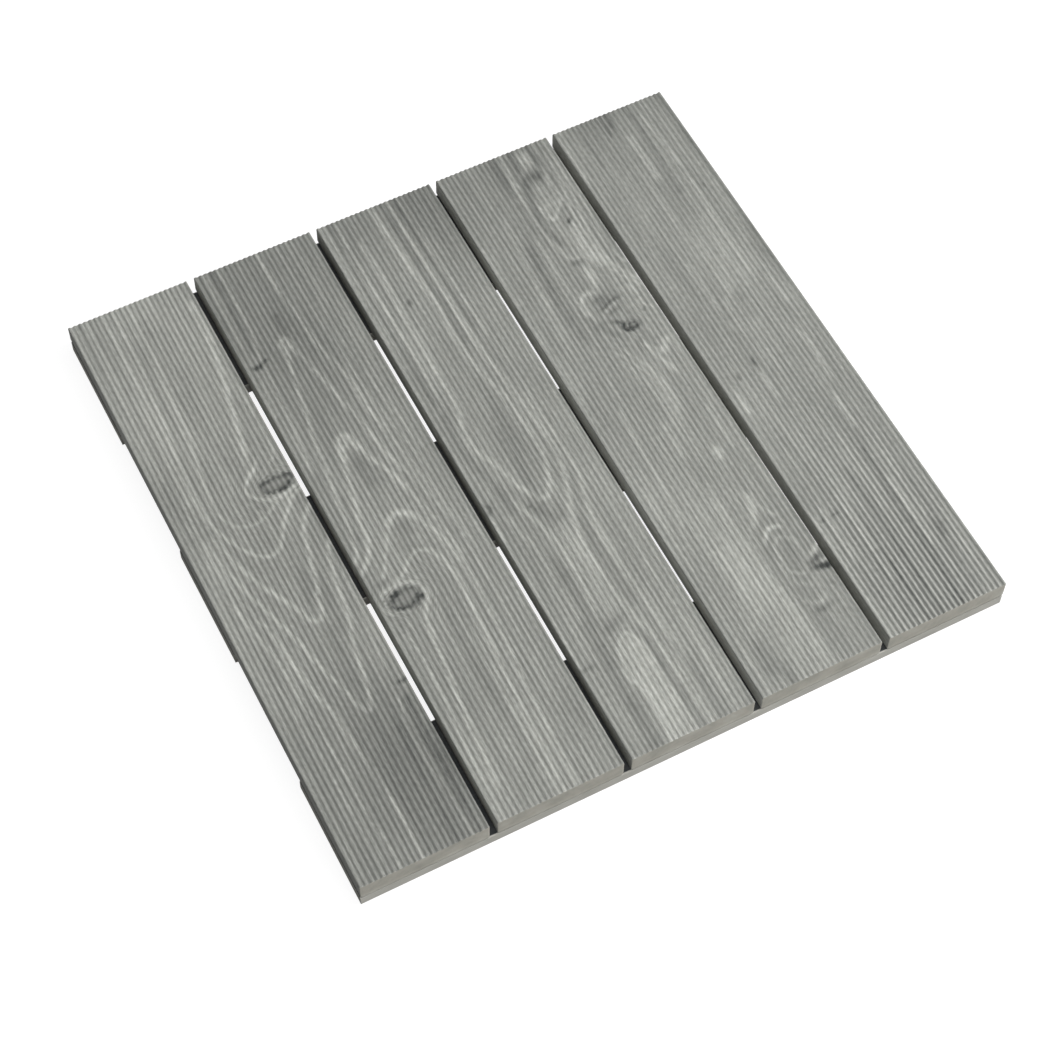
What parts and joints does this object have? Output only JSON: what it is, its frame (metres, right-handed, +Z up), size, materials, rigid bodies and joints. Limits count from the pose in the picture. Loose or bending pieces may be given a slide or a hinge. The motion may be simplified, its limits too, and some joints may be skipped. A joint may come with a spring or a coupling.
{
  "type": "wood tile",
  "caption": "Square deck tile of ribbed grey wooden slats laid side by side on flat cross battens and screwed from below.",
  "frame": {"origin": "centre of the square tile, on the plane of the battens' undersides", "axes": "+Z up out of the ribbed face, +Y along the slats, +X across the slats"},
  "size_m": [0.5, 0.5, 0.028],
  "materials": {
    "slat_wood": "matte",
    "batten_wood": "matte",
    "screw_steel": "satin"
  },
  "bodies": {
    "root": {"slat_1": "slat_wood", "slat_2": "slat_wood", "slat_3": "slat_wood", "slat_4": "slat_wood", "slat_5": "slat_wood", "batten_near": "batten_wood", "batten_middle": "batten_wood", "batten_far": "batten_wood", "screws": "screw_steel"}
  },
  "joints": []
}
